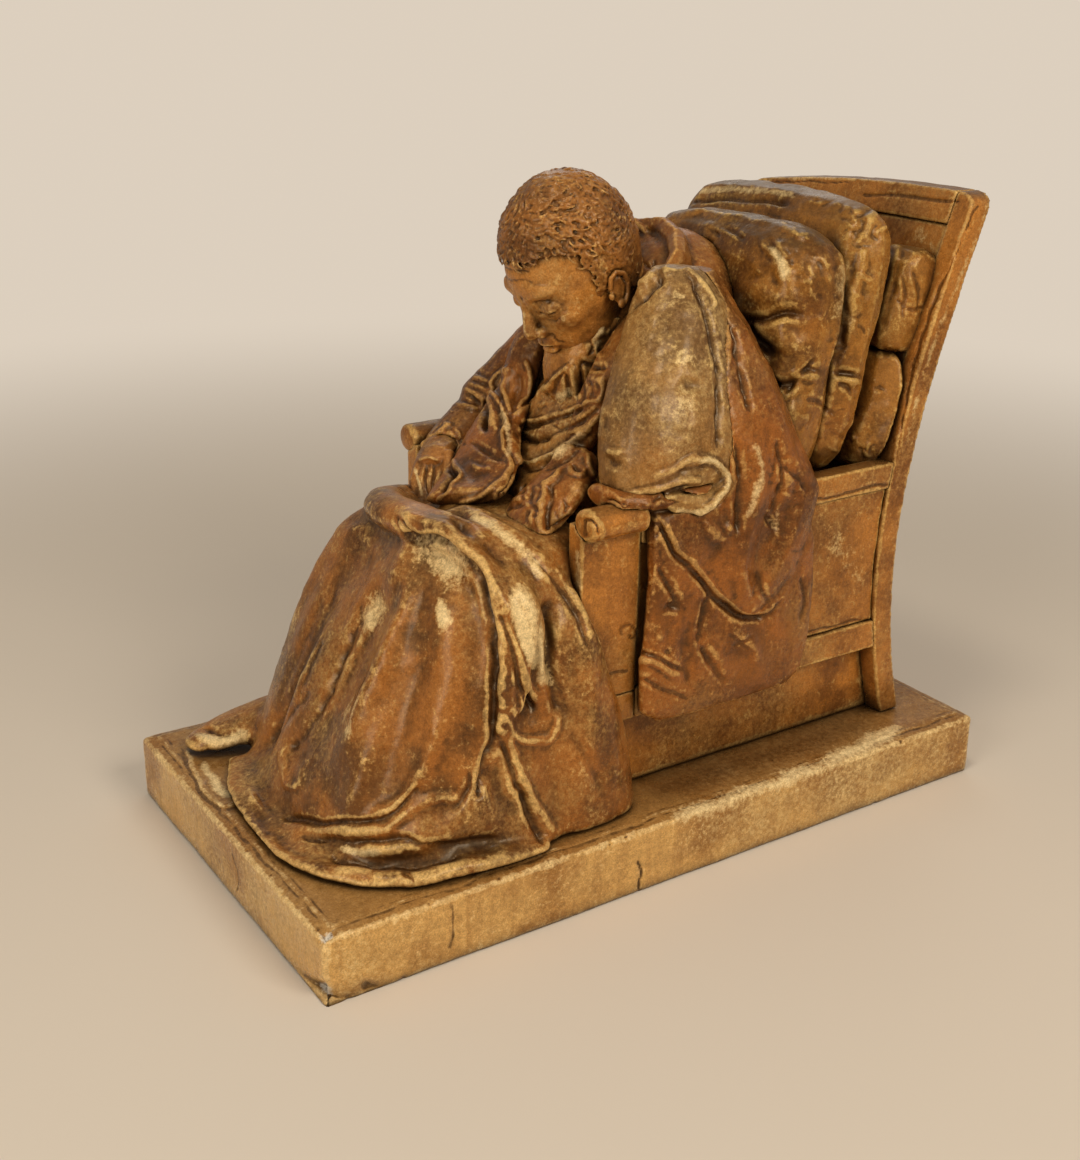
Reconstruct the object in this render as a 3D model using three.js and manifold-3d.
// Plaster statuette of an aged poet dozing in a high-backed armchair, a blanket over the knees.
// Millimetres, +Z up. The sitter faces -X, the sitter's left side is -Y, and the origin is under
// the middle of the plinth. Every length above the plinth is measured from the plinth's top face.
import * as THREE from "three";
import { mergeVertices } from "three/addons/utils/BufferGeometryUtils.js";
import Module from "manifold-3d";

const wasm = await Module();
wasm.setup();

// Joint left between two pieces that touch
const SEAM = 0.3;

// Plinth
const PLINTH_LENGTH = 400;
const PLINTH_WIDTH = 220;
const PLINTH_HEIGHT = 36;
const PLINTH_RIM = 7;
const PLINTH_RIM_DROP = 2;

// Armchair
const CHAIR_HALF_WIDTH = 82;
const BACK_HEIGHT = 281;
const BACK_THICKNESS = 13;
const BACK_SWEEP = [[169, 0], [157.5, 50], [155, 105], [163, 165], [180, 225], [199, BACK_HEIGHT]];
const BORDER_WIDTH = 12;
const BORDER_RELIEF = 2;
const CREST_ARCH = 3;
const CREST_FALL = 8;
const CREST_CORNER = 9;
const ARM_TOP = 147;
const ARM_RAIL_HEIGHT = 14;
const ARM_FRONT = -51;
const ARM_ROLL_SETBACK = 2;
const ROLL_CROWN = 3;
const ARM_ROLL_RADIUS = 7.5;
const ARM_ROLL_HALF_WIDTH = 9;
const ARM_ROLL_OUTSET = 1;
const ARM_ROLL_RISE = 1.5;
const POST_DEPTH = 34;
const POST_BLOCK_HEIGHT = 15;
const RAIL_WIDTH = 11;
const SEAT_RAIL_BOTTOM = 43;
const SEAT_RAIL_HEIGHT = 16;
const PANEL_THICKNESS = 8;
const PANEL_RECESS = 2;
const SEAT_TOP = 84;
const SEAT_FRONT = -38;
const UNDERSEAT_RECESS = 11;

// Cushions behind the shoulders: place, half depth, half width, half height, and lean in degrees
const FRONT_CUSHION = { at: [88, -14, 202], half: [25, 63, 65], lean: 8 };
const MIDDLE_CUSHION = { at: [122, 0, 209], half: [17, 73, 68], lean: 12 };
const REAR_CUSHION = { at: [147, 0, 171], half: [12, 75, 32], lean: 14 };
const BOLSTER = { at: [162, -58, 227], half: [13, 14, 25], lean: 14 };
const CUSHION_BULGE = 0.04;
const CUSHION_CREASE = 5;

// Head, bowed on the chest
const HEAD_CENTRE = [-3, 0, 251.5];
const HEAD_BOW = 30;
const SKULL = [34, 27, 39];
const HAIR_THICKNESS = 3.6;
const HAIR_CURL = 1.3;

// Blanket over the knees, spread on the plinth
const KNEE_HEIGHT = 140;
const HEM_ROLL = 3.6;
const HEM_THIN = 2.4;

// Poured and modelled colours of the patina
const PATINA = { brown: 0x8a5a26, umber: 0x5f3d1c, ochre: 0xa9803f, dust: 0x9c8355 };

const point = (x, y, z) => new THREE.Vector3(x, y, z);
const radians = THREE.MathUtils.degToRad;

function material(colour, roughness = 0.5) {
  return new THREE.MeshStandardMaterial({ color: colour, roughness, metalness: 0.05 });
}

// A closed body through rings of equal count, each end shut by a fan
function skin(rings) {
  const count = rings[0].length;
  const corners = rings.flat();
  const faces = [];
  for (let i = 0; i + 1 < rings.length; i++) {
    for (let j = 0; j < count; j++) {
      const a = i * count + j;
      const b = i * count + ((j + 1) % count);
      faces.push(a, b, b + count, a, b + count, a + count);
    }
  }
  const last = (rings.length - 1) * count;
  const foot = corners.push(middle(rings[0])) - 1;
  const head = corners.push(middle(rings.at(-1))) - 1;
  for (let j = 0; j < count; j++) {
    const k = (j + 1) % count;
    faces.push(foot, k, j, head, last + j, last + k);
  }
  const geometry = new THREE.BufferGeometry().setFromPoints(corners);
  geometry.setIndex(faces);
  return facingOut(geometry);
}

function middle(ring) {
  const sum = ring.reduce((total, p) => total.add(p), point(0, 0, 0));
  return sum.divideScalar(ring.length);
}

// Turns every face round where the body was built inside out
function facingOut(geometry) {
  const position = geometry.attributes.position;
  const index = geometry.index.array;
  const corner = (i) => new THREE.Vector3().fromBufferAttribute(position, index[i]);
  let volume = 0;
  for (let i = 0; i < index.length; i += 3) {
    volume += corner(i).dot(corner(i + 1).cross(corner(i + 2)));
  }
  if (volume < 0) index.reverse();
  return geometry;
}

// Catmull-Rom value of a list of equally spaced numbers at t from 0 to 1
function smooth(values, t) {
  const s = t * (values.length - 1);
  const i = Math.min(Math.floor(s), values.length - 2);
  const u = s - i;
  const at = (k) => values[Math.max(0, Math.min(values.length - 1, k))];
  const [p, q, r, w] = [at(i - 1), at(i), at(i + 1), at(i + 2)];
  const slopeIn = (r - p) / 2;
  const slopeOut = (w - q) / 2;
  return q + slopeIn * u + (3 * (r - q) - 2 * slopeIn - slopeOut) * u * u
    + (2 * (q - r) + slopeIn + slopeOut) * u * u * u;
}

// One value of a squared circle: power 2 is round, more is boxier
function squared(value, power) {
  return Math.sign(value) * Math.abs(value) ** (2 / power);
}

// A form given by level outlines, lowest first: [height, centre x, centre y, half depth, half width]
function column(stations, { levels = 12, sides = 32, power = 2.3 } = {}) {
  const rings = [];
  for (let i = 0; i <= levels; i++) {
    const [z, cx, cy, rx, ry] = [0, 1, 2, 3, 4].map((k) => smooth(stations.map((s) => s[k]), i / levels));
    const ring = [];
    for (let j = 0; j < sides; j++) {
      const angle = (2 * Math.PI * j) / sides;
      const x = cx + rx * squared(Math.cos(angle), power);
      const y = cy + ry * squared(Math.sin(angle), power);
      ring.push(point(x, y, z));
    }
    rings.push(ring);
  }
  return skin(rings);
}

// A rounded form along a path: each station is [x, y, z, half width, half thickness]
function limb(stations, { steps = 10, sides = 14, across = point(0, 1, 0), blunt = 0.5 } = {}) {
  const at = (t) => point(...[0, 1, 2].map((k) => smooth(stations.map((s) => s[k]), t)));
  const rings = [];
  const ends = 2;
  for (let i = -ends; i <= steps + ends; i++) {
    const t = THREE.MathUtils.clamp(i / steps, 0, 1);
    const beyond = i < 0 ? -i : Math.max(0, i - steps);
    const along = at(Math.min(1, t + 0.02)).sub(at(Math.max(0, t - 0.02))).normalize();
    const side = across.clone().addScaledVector(along, -across.dot(along)).normalize();
    const over = along.clone().cross(side);
    const [wide, thick] = [3, 4].map((k) => smooth(stations.map((s) => s[k]), t));
    const turn = (beyond / (ends + 0.4)) * (Math.PI / 2);
    const bulge = Math.sign(i) * Math.sin(turn) * Math.min(wide, thick) * blunt;
    const centre = at(t).addScaledVector(along, bulge);
    const ring = [];
    for (let j = 0; j < sides; j++) {
      const angle = (2 * Math.PI * j) / sides;
      ring.push(centre.clone().addScaledVector(side, wide * Math.cos(turn) * Math.cos(angle))
        .addScaledVector(over, thick * Math.cos(turn) * Math.sin(angle)));
    }
    rings.push(ring);
  }
  return skin(rings);
}

// An ellipsoid turned about Y by a lean in degrees
function ball(at, half, { lean = 0, sides = 20 } = {}) {
  const sphere = new THREE.SphereGeometry(1, sides, Math.round(sides * 0.6));
  sphere.scale(...half);
  sphere.rotateY(radians(lean));
  sphere.translate(...at);
  return plain(sphere);
}

function block([x0, x1], [y0, y1], [z0, z1]) {
  const box = new THREE.BoxGeometry(x1 - x0, y1 - y0, z1 - z0);
  box.translate((x0 + x1) / 2, (y0 + y1) / 2, (z0 + z1) / 2);
  return plain(box);
}

// A closed outline of [x, height] points, carried across the chair from y0 to y1
function slab(outline, y0, y1) {
  const shape = new THREE.Shape(outline.map(([x, z]) => new THREE.Vector2(x, z)));
  const body = new THREE.ExtrudeGeometry(shape, { depth: y1 - y0, bevelEnabled: false });
  body.rotateX(Math.PI / 2);
  body.translate(0, y1, 0);
  return plain(body);
}

// Keeps only the places, with shared corners merged
function plain(geometry) {
  const bare = geometry.index ? geometry.toNonIndexed() : geometry.clone();
  bare.deleteAttribute("normal");
  bare.deleteAttribute("uv");
  return facingOut(mergeVertices(bare, 1e-3));
}

// Raises a fold, or sinks a furrow where the height is negative, along a path over a body
function fold(geometry, path, width, height) {
  const line = new THREE.CatmullRomCurve3(path.map((p) => point(...p)));
  const marks = line.getPoints(path.length * 6);
  geometry.computeVertexNormals();
  const { position, normal } = geometry.attributes;
  const nearest = new THREE.Vector3();
  const moved = [];
  for (let i = 0; i < position.count; i++) {
    const here = new THREE.Vector3().fromBufferAttribute(position, i);
    let gap = Infinity;
    for (let k = 0; k + 1 < marks.length; k++) {
      new THREE.Line3(marks[k], marks[k + 1]).closestPointToPoint(here, true, nearest);
      gap = Math.min(gap, nearest.distanceTo(here));
    }
    const share = gap < width ? 0.5 + 0.5 * Math.cos((Math.PI * gap) / width) : 0;
    moved.push(here.addScaledVector(new THREE.Vector3().fromBufferAttribute(normal, i), height * share));
  }
  moved.forEach((p, i) => position.setXYZ(i, p.x, p.y, p.z));
  geometry.deleteAttribute("normal");
  return geometry;
}

// The same body a seam larger all round, used to cut its neighbours clear
function grown(geometry, by = SEAM * 1.4) {
  const larger = geometry.clone();
  const { position } = larger.attributes;
  const index = larger.index.array;
  const outward = Array.from({ length: position.count }, () => point(0, 0, 0));
  for (let i = 0; i < index.length; i += 3) {
    const face = [index[i], index[i + 1], index[i + 2]];
    const [a, b, c] = face.map((k) => new THREE.Vector3().fromBufferAttribute(position, k));
    const normal = b.sub(a).cross(c.sub(a)).normalize();
    face.forEach((k) => outward[k].add(normal));
  }
  outward.forEach((normal, k) => {
    normal.setLength(by);
    position.setXYZ(k, position.getX(k) + normal.x, position.getY(k) + normal.y, position.getZ(k) + normal.z);
  });
  return larger;
}

function solid(geometry) {
  return new wasm.Manifold(new wasm.Mesh({
    numProp: 3,
    vertProperties: new Float32Array(geometry.attributes.position.array),
    triVerts: new Uint32Array(geometry.index.array),
  }));
}

// Forms joined into one body
function joined(forms) {
  return forms.map(solid).reduce((body, form) => body.add(form));
}

// Back to a geometry, without the crumbs that a cut can leave beside the main body
function geometryOf(body) {
  const whole = body.decompose().sort((a, b) => b.volume() - a.volume())[0];
  const { vertProperties, triVerts } = whole.getMesh();
  const geometry = new THREE.BufferGeometry();
  geometry.setAttribute("position", new THREE.BufferAttribute(vertProperties, 3));
  geometry.setIndex(new THREE.BufferAttribute(triVerts, 1));
  return geometry;
}

const statue = new THREE.Group();
statue.position.z = PLINTH_HEIGHT;
const cutters = {};

// Adds a piece to the statue, cut clear of the pieces named; later pieces are cut by its cutter
function piece(name, form, colour, neighbours = [], cutter = solid(grown(form))) {
  cutters[name] = cutter;
  const cut = (body, other) => body.subtract(cutters[other]);
  const mesh = new THREE.Mesh(geometryOf(neighbours.reduce(cut, solid(form))), material(colour));
  mesh.name = name;
  statue.add(mesh);
}

// Adds a piece made of several forms joined
function joinedPiece(name, forms, colour, neighbours) {
  const cutter = joined(forms.map((form) => grown(form)));
  piece(name, geometryOf(joined(forms)), colour, neighbours, cutter);
}

// The slab that everything stands on, its top edge broken by a low rim
function plinth() {
  const ring = (inset, z) => [[-1, -1], [1, -1], [1, 1], [-1, 1]].map(([sx, sy]) =>
    point(sx * (PLINTH_LENGTH / 2 - inset), sy * (PLINTH_WIDTH / 2 - inset), z));
  return skin([ring(0, -PLINTH_HEIGHT), ring(0, -PLINTH_RIM_DROP), ring(PLINTH_RIM, 0)]);
}
piece("plinth", plinth(), PATINA.ochre);

// The armchair's back: a slab in a rearward sweep, with a border raised round its front
const sweep = new THREE.SplineCurve(BACK_SWEEP.map(([x, z]) => new THREE.Vector2(x, z)));

function backSlab(thickness, y0, y1) {
  const rear = sweep.getPoints(14);
  const front = rear.map((p, i) => {
    const along = sweep.getTangent(i / 14);
    return new THREE.Vector2(p.x - along.y * thickness, p.y + along.x * thickness);
  });
  front[0].y = 0;
  const outline = [...rear, ...front.reverse()].map((p) => [p.x, Math.max(p.y, SEAM)]);
  return slab(outline, y0, y1);
}

// Room that the whole back lies in, front to rear
const BACK_SPAN = [BACK_SWEEP[1][0] - 60, BACK_SWEEP.at(-1)[0] + 60];

// The back's outline from the front: a low arch that falls a little to the far side, corners rounded
function crestOutline() {
  const half = CHAIR_HALF_WIDTH;
  const shape = new THREE.Shape();
  const near = BACK_HEIGHT;
  const far = BACK_HEIGHT - CREST_FALL;
  shape.moveTo(-half, 0);
  shape.lineTo(-half, near - CREST_CORNER);
  shape.quadraticCurveTo(-half, near - 1, -half + CREST_CORNER, near);
  shape.quadraticCurveTo(0, (near + far) / 2 + 2 * CREST_ARCH, half - CREST_CORNER, far);
  shape.quadraticCurveTo(half, far - 1, half, far - CREST_CORNER);
  shape.lineTo(half, 0);
  const depth = BACK_SPAN[1] - BACK_SPAN[0];
  const body = new THREE.ExtrudeGeometry(shape, { depth, bevelEnabled: false, curveSegments: 8 });
  body.rotateX(Math.PI / 2);
  body.rotateZ(Math.PI / 2);
  body.translate(BACK_SPAN[0], 0, 0);
  return plain(body);
}
const crest = solid(crestOutline());

function backPart(thickness, y, z) {
  const whole = solid(backSlab(thickness, -CHAIR_HALF_WIDTH, CHAIR_HALF_WIDTH)).intersect(crest);
  return geometryOf(whole.intersect(solid(block(BACK_SPAN, y, z))));
}
const BORDER_IN = CHAIR_HALF_WIDTH - BORDER_WIDTH;
const TALL = BACK_HEIGHT + 20;
const CREST_BOTTOM = BACK_HEIGHT - BORDER_WIDTH - CREST_FALL / 2;
piece("left_back_stile", backPart(BACK_THICKNESS, [-CHAIR_HALF_WIDTH, -BORDER_IN], [0, TALL]), PATINA.brown);
piece("right_back_stile", backPart(BACK_THICKNESS, [BORDER_IN, CHAIR_HALF_WIDTH], [0, TALL]), PATINA.brown);
const BETWEEN = [-BORDER_IN + SEAM, BORDER_IN - SEAM];
piece("crest_rail", backPart(BACK_THICKNESS, BETWEEN, [CREST_BOTTOM + SEAM, TALL]), PATINA.umber);
piece("back_panel", backPart(BACK_THICKNESS - BORDER_RELIEF, BETWEEN, [0, CREST_BOTTOM]), PATINA.brown);

// Each side of the chair: post, rails and sunk panel, the same on the near and the far side
const RAIL_END = 175;
const PANEL_TOP = ARM_TOP - ARM_RAIL_HEIGHT;
const SEAT_RAIL_TOP = SEAT_RAIL_BOTTOM + SEAT_RAIL_HEIGHT;
const POST_BACK = ARM_FRONT + POST_DEPTH;
const BLOCK_TOP = SEAT_RAIL_BOTTOM + POST_BLOCK_HEIGHT;
for (const [side, sign] of [["left", -1], ["right", 1]]) {
  const across = (outer, inner) => [sign * outer, sign * inner].sort((a, b) => a - b);
  const rail = across(CHAIR_HALF_WIDTH, CHAIR_HALF_WIDTH - RAIL_WIDTH);
  const face = CHAIR_HALF_WIDTH - PANEL_RECESS;
  const stile = [`${side}_back_stile`, "back_panel"];
  const rollFront = ARM_FRONT + ARM_ROLL_SETBACK;
  const rollAcross = sign * (CHAIR_HALF_WIDTH + ARM_ROLL_OUTSET);
  const rollHeight = ARM_TOP + ARM_ROLL_RISE;
  piece(`${side}_arm_roll`, limb([
    [rollFront, rollAcross, rollHeight, ARM_ROLL_HALF_WIDTH, ARM_ROLL_RADIUS],
    [POST_BACK - ROLL_CROWN, rollAcross, rollHeight, ARM_ROLL_HALF_WIDTH, ARM_ROLL_RADIUS],
  ], { steps: 1, sides: 16, blunt: 0.3 }), PATINA.brown);
  const post = [ARM_FRONT, POST_BACK];
  const behind = [POST_BACK + SEAM, RAIL_END];
  const panel = across(face, face - PANEL_THICKNESS);
  piece(`${side}_arm_post`, block(post, rail, [BLOCK_TOP + SEAM, ARM_TOP]), PATINA.brown,
    [`${side}_arm_roll`]);
  piece(`${side}_post_block`, block(post, rail, [SEAT_RAIL_BOTTOM, BLOCK_TOP]), PATINA.brown);
  piece(`${side}_arm_rail`, block(behind, rail, [PANEL_TOP + SEAM, ARM_TOP]), PATINA.brown, stile);
  piece(`${side}_side_panel`, block(behind, panel, [SEAT_RAIL_TOP + SEAM, PANEL_TOP]),
    PATINA.ochre, stile);
  piece(`${side}_seat_rail`, block(behind, rail, [SEAT_RAIL_BOTTOM, SEAT_RAIL_TOP]), PATINA.brown, stile);
}
const SEAT_HALF = CHAIR_HALF_WIDTH - RAIL_WIDTH - SEAM;
const BASE_HALF = CHAIR_HALF_WIDTH - UNDERSEAT_RECESS;
const SEAT_DEPTH = [SEAT_FRONT, RAIL_END];
const STILES = ["back_panel", "left_back_stile", "right_back_stile"];
piece("seat", block(SEAT_DEPTH, [-SEAT_HALF, SEAT_HALF], [SEAT_RAIL_BOTTOM, SEAT_TOP]),
  PATINA.umber, STILES);
piece("underseat_box", block(SEAT_DEPTH, [-BASE_HALF, BASE_HALF], [SEAM, SEAT_RAIL_BOTTOM - SEAM]),
  PATINA.brown, STILES);
const LEFT_SIDE = Object.keys(cutters).filter((name) => name.startsWith("left"));
const RIGHT_SIDE = Object.keys(cutters).filter((name) => name.startsWith("right"));
const BACK = [...STILES, "crest_rail"];

// The body of the coat, hunched from the seat to the nape
piece("coat_body", column([
  [SEAT_TOP + SEAM, 36, 0, 44, 56],
  [120, 34, 0, 44, 58],
  [160, 36, 0, 44, 57],
  [195, 40, 0, 43, 54],
  [225, 46, 0, 38, 48],
  [246, 54, 0, 28, 34],
  [258, 58, 0, 15, 18],
  [262, 58, 0, 5, 6],
], { levels: 11, sides: 24 }), PATINA.umber);

// The right hand, hanging over the end of the arm: palm and four fingers, with the thumb beside
const RIGHT_ARM = CHAIR_HALF_WIDTH;
function rightHand() {
  const palm = limb([[-40, RIGHT_ARM - 25, ARM_TOP + 5, 9, 5], [-50, RIGHT_ARM - 31, ARM_TOP + 3, 10, 6],
    [-58, RIGHT_ARM - 39, ARM_TOP - 2, 10, 6]], { steps: 3, sides: 10 });
  const fingers = [-7.5, -2.5, 2.5, 7].map((across, i) => limb([
    [-57 - across * 0.5, RIGHT_ARM - 38 + across * 0.8, ARM_TOP - 1, 2.9, 2.9],
    [-65 - across * 0.5, RIGHT_ARM - 46 + across * 0.8, ARM_TOP - 8, 2.8, 2.8],
    [-70 - across * 0.4, RIGHT_ARM - 53 + across * 0.7, ARM_TOP - 18 - (i % 2), 2.4, 2.4],
  ], { steps: 2, sides: 7 }));
  const thumb = limb([[-50, RIGHT_ARM - 43, ARM_TOP + 4, 3, 3], [-55, RIGHT_ARM - 51, ARM_TOP - 2, 3, 3],
    [-60, RIGHT_ARM - 57, ARM_TOP - 9, 2.5, 2.5]], { steps: 2, sides: 7 });
  return [palm, ...fingers, thumb];
}
joinedPiece("right_hand", rightHand(), PATINA.ochre, [...RIGHT_SIDE, "coat_body"]);

// The blanket over the knees and shins, laid on the seat, round the hand and clear of the chair
function blanket() {
  const form = column([
    [SEAM, -92, -6, 80, 94],
    [20, -90, -7, 75, 88],
    [50, -88, -9, 66, 83],
    [80, -84, -10, 56, 78],
    [105, -78, -11, 47, 73],
    [KNEE_HEIGHT - 15, -72, -13, 41, 65],
    [KNEE_HEIGHT - 3, -64, -12, 34, 53],
    [KNEE_HEIGHT, -62, -12, 20, 32],
  ], { levels: 15, sides: 38, power: 2.8 });
  fold(form, [[-118, 10, 126], [-138, 22, 92], [-152, 30, 56], [-164, 34, 20]], 16, -9);
  fold(form, [[-106, 40, 124], [-120, 52, 86], [-132, 60, 46], [-140, 66, 14]], 13, 6);
  fold(form, [[-104, -28, 134], [-130, -40, 100], [-150, -50, 60], [-160, -60, 24]], 16, 7);
  fold(form, [[-128, -66, 92], [-144, -70, 60], [-152, -78, 30]], 14, -6);
  fold(form, [[-60, 40, 136], [-74, 22, 139], [-92, 0, 139]], 15, -8);
  fold(form, [[-94, -78, 104], [-104, -90, 70], [-112, -96, 34]], 11, 5);
  const overFeet = [[-164, 20, 10], [-168, -30, 14], [-160, -66, 12], [-136, -90, 16], [-104, -94, 34]];
  return fold(form, overFeet, 10, 6);
}

function clearOfChair(form, gap) {
  const wide = 2 * CHAIR_HALF_WIDTH;
  const front = ARM_FRONT - gap;
  const rollFront = Math.min(ARM_FRONT, ARM_FRONT + ARM_ROLL_SETBACK - ROLL_CROWN) - gap;
  const postIn = CHAIR_HALF_WIDTH - RAIL_WIDTH - gap;
  const rollIn = CHAIR_HALF_WIDTH + ARM_ROLL_OUTSET - ARM_ROLL_HALF_WIDTH - gap;
  const rollBottom = ARM_TOP + ARM_ROLL_RISE - ARM_ROLL_RADIUS - gap;
  const beside = (side, inner) => [side * inner, side * wide].sort((a, b) => a - b);
  const spaces = [block([front, wide], [-wide, wide], [-1, SEAT_TOP + gap])];
  for (const side of [-1, 1]) {
    spaces.push(block([front, wide], beside(side, postIn), [0, TALL]));
    spaces.push(block([rollFront, wide], beside(side, rollIn), [rollBottom, TALL]));
  }
  return spaces.reduce((body, space) => body.subtract(solid(space)), solid(form));
}
piece("lap_blanket", geometryOf(clearOfChair(blanket(), SEAM)), PATINA.ochre, ["coat_body", "right_hand"],
  clearOfChair(grown(blanket()), 0));

// Shirt front and scarf under the chin, then the waistcoat
piece("cravat", column([
  [178, 2, 0, 13, 12],
  [196, 4, 0, 18, 18],
  [212, 12, 0, 23, 22],
  [226, 22, 0, 23, 24],
], { levels: 5, sides: 14 }), PATINA.umber, ["coat_body"]);
piece("waistcoat", column([
  [128, -10, -4, 34, 38],
  [142, -8, -3, 33, 37],
  [152, -3, 0, 28, 34],
  [166, 4, 0, 25, 33],
  [188, 12, 0, 22, 29],
  [202, 20, 0, 18, 24],
], { levels: 9, sides: 18 }), PATINA.brown, ["coat_body", "lap_blanket", "cravat"]);
const CHEST = ["coat_body", "cravat", "waistcoat"];

// Lapels and collar of the coat
function lapel(side) {
  return limb([
    [14, side * 31, 226, 9, 5], [-2, side * 33, 208, 10, 6],
    [-11, side * 33, 188, 11, 7], [-18, side * 28, 164, 8, 6],
  ], { steps: 6, sides: 10, across: point(0, 1, side * 0.5) });
}
piece("left_lapel", lapel(-1), PATINA.brown, CHEST);
piece("right_lapel", lapel(1), PATINA.brown, CHEST);
piece("coat_collar", limb([
  [10, -34, 216, 9, 5], [22, -36, 231, 10, 5], [42, -28, 250, 10, 5], [54, 0, 258, 11, 6],
  [42, 28, 250, 10, 5], [22, 36, 231, 10, 5], [10, 34, 216, 9, 5],
], { steps: 12, sides: 8, across: point(-0.3, 0, 1) }), PATINA.ochre,
  [...CHEST, "left_lapel", "right_lapel"]);
const FRONTS = [...CHEST, "left_lapel", "right_lapel", "coat_collar"];

// Head: skull, face, nose and neck in one, bowed forward
function bowed(geometry) {
  return geometry.rotateY(-radians(HEAD_BOW)).translate(...HEAD_CENTRE);
}

function head() {
  const shapes = [
    ball([0, 0, 0], SKULL),
    ball([-13, 0, -20], [20, 21, 27], { sides: 16 }),
    ball([-18, 0, -34], [12, 14, 10], { sides: 12 }),
    limb([[-31, 0, -6, 3, 3], [-36, 0, -18, 5, 5]], { steps: 2, sides: 8 }),
    limb([[12, 0, -20, 20, 19], [26, 0, -44, 23, 21]], { steps: 2 }),
  ];
  return geometryOf(joined(shapes.map(bowed)));
}
piece("head", head(), PATINA.brown, FRONTS);

function ear(side) {
  return bowed(ball([2, side * (SKULL[1] + 1), -13], [6, 4, 9], { lean: 10, sides: 10 }));
}
piece("left_ear", ear(-1), PATINA.brown, ["head", "coat_collar"]);
piece("right_ear", ear(1), PATINA.brown, ["head", "coat_collar"]);

// Short curls over the whole skull, stopping at the hairline
function hair() {
  const cap = ball([2, 0, 2], SKULL.map((half) => half + HAIR_THICKNESS), { sides: 20 });
  const position = cap.attributes.position;
  for (let i = 0; i < position.count; i++) {
    const at = new THREE.Vector3().fromBufferAttribute(position, i);
    const curl = Math.sin(at.x / 2.6) * Math.sin(at.y / 2.9) * Math.sin(at.z / 2.7);
    at.multiplyScalar(1 + (HAIR_CURL * curl) / at.length());
    position.setXYZ(i, at.x, at.y, at.z);
  }
  const face = block([-80, -6], [-50, 50], [-80, 10]);
  const forehead = block([-80, -22], [-50, 50], [-80, 20]);
  const nape = block([-80, 80], [-50, 50], [-80, -28]);
  const cut = [face, forehead, nape].reduce((body, part) => body.subtract(solid(part)), solid(cap));
  return bowed(geometryOf(cut));
}
piece("hair", hair(), PATINA.ochre, ["head", "left_ear", "right_ear", "coat_body", "coat_collar", "cravat"]);

// The left sleeve, a wide bell over the arm of the chair, its hem curled up on the outside
const LEFT_ARM = -CHAIR_HALF_WIDTH;
function sleeve() {
  const bell = column([
    [ARM_TOP + 14, 8, LEFT_ARM + 9, 40, 20],
    [ARM_TOP + 28, 8, LEFT_ARM + 11, 38, 23],
    [ARM_TOP + 46, 10, LEFT_ARM + 16, 35, 23],
    [ARM_TOP + 68, 16, LEFT_ARM + 23, 29, 21],
    [ARM_TOP + 91, 23, LEFT_ARM + 31, 22, 18],
    [ARM_TOP + 105, 26, LEFT_ARM + 37, 11, 10],
  ], { levels: 10, sides: 26 });
  const curl = limb([
    [-10, LEFT_ARM - 6, ARM_TOP + 12, 4, 4], [2, LEFT_ARM - 8, ARM_TOP + 6, 6, 5],
    [14, LEFT_ARM - 9, ARM_TOP + 5, 6, 5], [24, LEFT_ARM - 9, ARM_TOP + 13, 5, 4],
  ], { steps: 4, sides: 8 });
  return [bell, curl];
}
joinedPiece("left_sleeve", sleeve(), PATINA.dust, [...LEFT_SIDE, ...FRONTS]);

// The cloak that falls from the left shoulder over the arm of the chair, to a point
function cloak() {
  const form = column([
    [ARM_TOP - 56, 44, LEFT_ARM - 8, 4, 4],
    [ARM_TOP - 43, 46, LEFT_ARM - 8, 24, 6],
    [ARM_TOP - 22, 46, LEFT_ARM - 6, 36, 9],
    [ARM_TOP, 52, LEFT_ARM - 3, 36, 12],
    [ARM_TOP + 23, 44, LEFT_ARM + 6, 34, 20],
    [ARM_TOP + 53, 38, LEFT_ARM + 17, 32, 21],
    [ARM_TOP + 83, 36, LEFT_ARM + 30, 22, 18],
    [ARM_TOP + 103, 36, LEFT_ARM + 40, 12, 10],
  ], { levels: 12, sides: 24 });
  fold(form, [[48, -58, 236], [62, -74, 196], [66, -88, 160], [56, -96, 124]], 9, -6);
  return fold(form, [[34, -64, 226], [46, -84, 190], [50, -94, 150], [46, -96, 110]], 8, -5);
}
piece("cloak", cloak(), PATINA.umber, [...LEFT_SIDE, "coat_body", "coat_collar", "left_sleeve"]);

// The coat's tail, hung outside the chair's left side down to its bottom rail, and the bunched
// cloth that it hangs from, laid on the arm under the sleeve
function tail() {
  const hanging = column([
    [SEAT_RAIL_BOTTOM - 1, 34, LEFT_ARM - 5, 42, 4],
    [SEAT_RAIL_BOTTOM + 9, 33, LEFT_ARM - 6, 53, 5],
    [80, 35, LEFT_ARM - 6, 53, 5],
    [ARM_TOP - 37, 36, LEFT_ARM - 6, 52, 5],
    [ARM_TOP - 12, 33, LEFT_ARM - 5, 49, 8],
    [ARM_TOP + 2, 32, LEFT_ARM - 3, 47, 8],
  ], { levels: 6, sides: 22, power: 3.4 });
  const bunched = limb([
    [-34, LEFT_ARM + 6, ARM_TOP + 10, 14, 5], [-12, LEFT_ARM + 6, ARM_TOP + 9, 18, 7],
    [26, LEFT_ARM + 6, ARM_TOP + 8, 19, 8], [60, LEFT_ARM + 4, ARM_TOP + 4, 15, 7],
  ], { steps: 5, sides: 10 });
  return [hanging, bunched];
}
joinedPiece("coat_tail", tail(), PATINA.brown,
  [...LEFT_SIDE, "coat_body", "waistcoat", "left_sleeve", "cloak"]);

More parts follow.
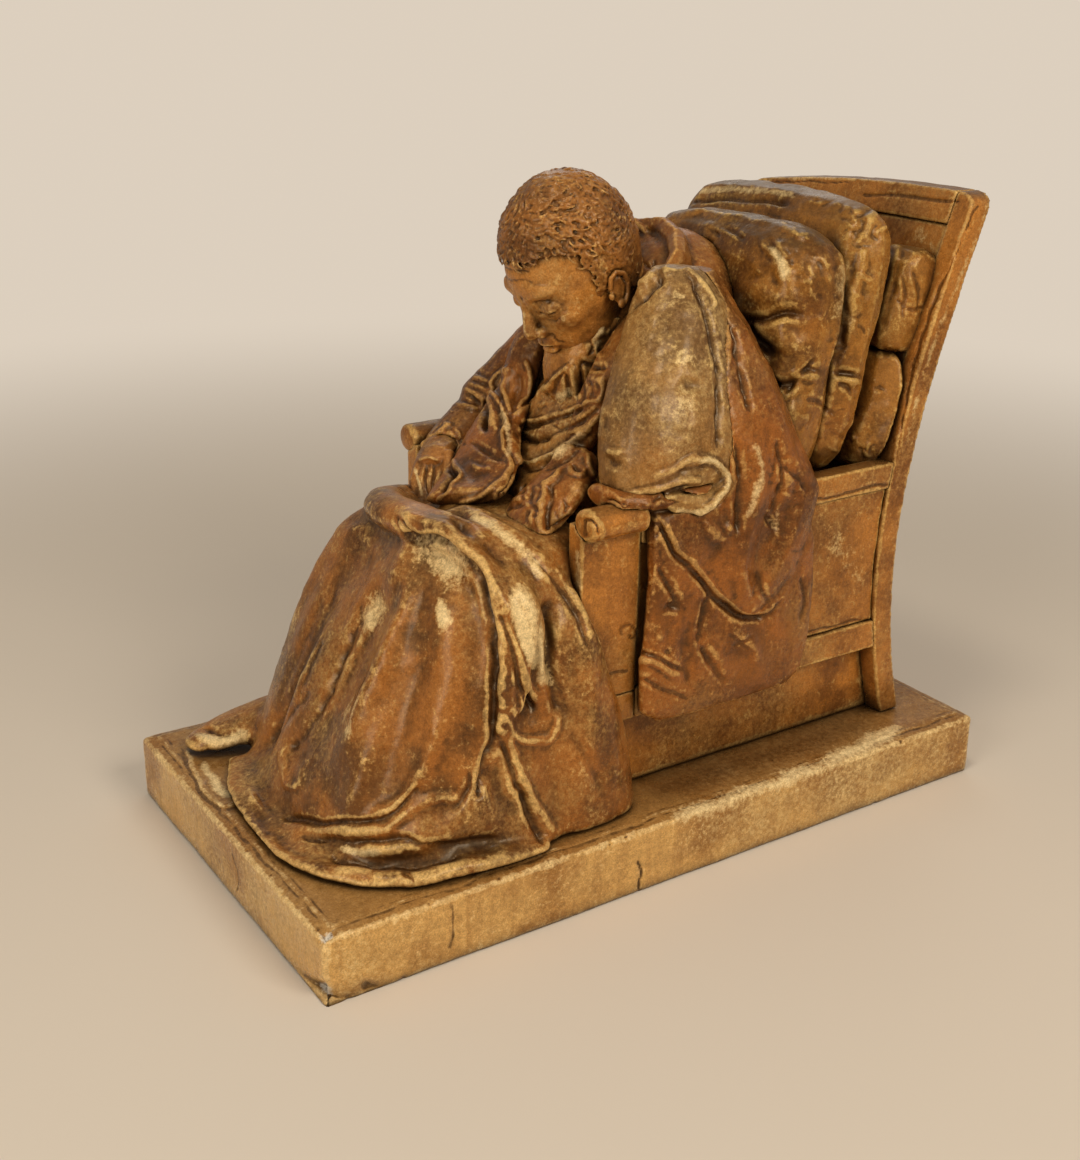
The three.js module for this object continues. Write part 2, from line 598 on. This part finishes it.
// The right sleeve: shoulder and upper arm, then the forearm laid along the chair's arm to its cuff
piece("right_sleeve", limb([
  [34, 38, 220, 15, 17], [21, 52, 198, 17, 18], [4, RIGHT_ARM - 22, 178, 18, 18],
  [-14, RIGHT_ARM - 18, ARM_TOP + 17, 17, 16],
], { steps: 7, sides: 14 }), PATINA.brown, [...RIGHT_SIDE, ...FRONTS, "head"]);
piece("right_cuff", limb([
  [-14, RIGHT_ARM - 18, ARM_TOP + 14, 15, 14], [-28, RIGHT_ARM - 21, ARM_TOP + 7, 15, 13],
  [-40, RIGHT_ARM - 25, ARM_TOP - 1, 15, 13], [-46, RIGHT_ARM - 28, ARM_TOP - 10, 14, 12],
], { steps: 5, sides: 14, blunt: 0.2 }), PATINA.brown,
  [...RIGHT_SIDE, "coat_body", "right_sleeve", "right_hand", "lap_blanket"]);

// The coat's fronts, falling from the lapels to the lap
const OVER = [...FRONTS, "lap_blanket", "left_sleeve", "right_sleeve", "right_cuff", "right_hand"];
piece("right_coat_front", limb([
  [-14, 34, 178, 12, 8], [-32, 24, 163, 17, 7], [-48, 10, 151, 22, 6], [-66, -4, KNEE_HEIGHT + 3, 22, 5],
], { steps: 6, sides: 12 }), PATINA.brown, [...RIGHT_SIDE, ...OVER]);
piece("left_coat_front", limb([
  [-22, -38, 164, 12, 8], [-38, -42, 152, 17, 8], [-50, -43, 143, 19, 7], [-58, -44, 136, 17, 6],
], { steps: 5, sides: 12 }), PATINA.dust, [...LEFT_SIDE, ...OVER, "coat_tail"]);

// Cushions stood on edge between the back and the shoulders: crowned, creased across the middle
// of their sides, and a little swollen between the corners
function cushion({ at, half: [depth, width, height], lean }, cells = 12) {
  const corners = [];
  const faces = [];
  for (const front of [1, -1]) {
    const start = corners.length;
    for (let i = 0; i <= cells; i++) {
      for (let j = 0; j <= cells; j++) {
        const u = Math.sin((Math.PI / 2) * ((2 * i) / cells - 1));
        const v = Math.sin((Math.PI / 2) * ((2 * j) / cells - 1));
        const crown = Math.sqrt((1 - u ** 6) * (1 - v ** 6));
        const creased = depth - CUSHION_CREASE * Math.exp(-((v / 0.16) ** 2)) * u ** 2;
        const corner = 1 - 0.09 * (u * v) ** 4;
        corners.push(point(-front * creased * crown, corner * width * u * (1 + CUSHION_BULGE * (1 - v * v)),
          corner * height * v * (1 + CUSHION_BULGE * (1 - u * u))));
      }
    }
    for (let i = 0; i < cells; i++) {
      for (let j = 0; j < cells; j++) {
        const a = start + i * (cells + 1) + j;
        const b = a + cells + 1;
        faces.push(...(front > 0 ? [a, a + 1, b + 1, a, b + 1, b] : [a, b + 1, a + 1, a, b, b + 1]));
      }
    }
  }
  const geometry = new THREE.BufferGeometry().setFromPoints(corners);
  geometry.setIndex(faces);
  geometry.rotateY(radians(lean));
  geometry.translate(...at);
  return facingOut(mergeVertices(geometry, 1e-3));
}
const RESTS = ["seat", "left_arm_rail", "right_arm_rail", ...BACK, "coat_body", "coat_collar", "cloak",
  "left_sleeve", "right_sleeve"];
piece("front_cushion", cushion(FRONT_CUSHION), PATINA.ochre, RESTS);
piece("middle_cushion", cushion(MIDDLE_CUSHION, 10), PATINA.ochre, [...RESTS, "front_cushion"]);
piece("rear_cushion", cushion(REAR_CUSHION, 6), PATINA.brown, [...RESTS, "middle_cushion", "front_cushion"]);
piece("bolster", cushion(BOLSTER, 8), PATINA.ochre, [...RESTS, "middle_cushion", "rear_cushion"]);

// The blanket's gathered edge, rolled across the lap and down beside the left knee
piece("blanket_roll", limb([
  [-66, 50, KNEE_HEIGHT - 12, 8, 6], [-92, 30, KNEE_HEIGHT - 4, 10, 7],
  [-104, 0, KNEE_HEIGHT + 1, 11, 8], [-100, -32, KNEE_HEIGHT + 2, 11, 8],
  [-92, -58, KNEE_HEIGHT - 2, 11, 8], [-90, -78, KNEE_HEIGHT - 18, 11, 8],
  [-92, -88, KNEE_HEIGHT - 42, 9, 6], [-92, -92, KNEE_HEIGHT - 70, 5, 4],
], { steps: 14, sides: 10, across: point(-1, 0.4, 0) }), PATINA.ochre,
  ["lap_blanket", "right_hand", "right_coat_front", "left_coat_front"]);

// The fall of the blanket at the left side, in front of the chair
function sideFall() {
  const form = column([
    [SEAM, -50, -80, 32, 20],
    [25, -53, -80, 32, 17],
    [50, -57, -78, 32, 16],
    [75, -61, -76, 29, 15],
    [100, -66, -72, 27, 16],
    [KNEE_HEIGHT - 20, -72, -64, 24, 18],
    [KNEE_HEIGHT - 2, -76, -50, 18, 18],
    [KNEE_HEIGHT + 4, -78, -44, 8, 10],
  ], { levels: 12, sides: 22 });
  fold(form, [[-62, -78, 128], [-62, -94, 104], [-62, -96, 76], [-70, -98, 52]], 8, -7);
  return fold(form, [[-50, -78, 122], [-44, -92, 96], [-38, -94, 60], [-40, -98, 30]], 9, 4);
}
piece("blanket_side_fall", sideFall(), PATINA.ochre,
  [...LEFT_SIDE, "seat", "underseat_box", "lap_blanket", "blanket_roll", "left_coat_front"]);
const BLANKET = ["lap_blanket", "blanket_roll", "blanket_side_fall"];

// The hem lying on the plinth, in a low roll round the feet, with a turned-out corner
const hemRoute = [[-164, 52, 11, HEM_THIN], [-175, 20, 13, HEM_ROLL], [-181, -20, 11, HEM_THIN],
  [-177, -54, 13, HEM_ROLL], [-157, -85, 11, HEM_THIN], [-118, -96, 10, HEM_ROLL], [-80, -98, 9, HEM_THIN]];
piece("blanket_hem", limb(hemRoute.map(([x, y, wide, thick]) => [x, y, SEAM + thick, wide, thick]),
  { steps: 14, sides: 10, across: point(1, 0.6, 0) }), PATINA.dust, ["plinth", ...BLANKET]);
piece("hem_corner", limb([
  [-186, 74, 5, 8, 3], [-172, 76, 7, 14, 4], [-152, 74, 11, 16, 6], [-132, 64, 18, 14, 8],
], { steps: 5, sides: 10 }), PATINA.dust, ["plinth", ...BLANKET, "blanket_hem"]);

export default new THREE.Group().add(statue);
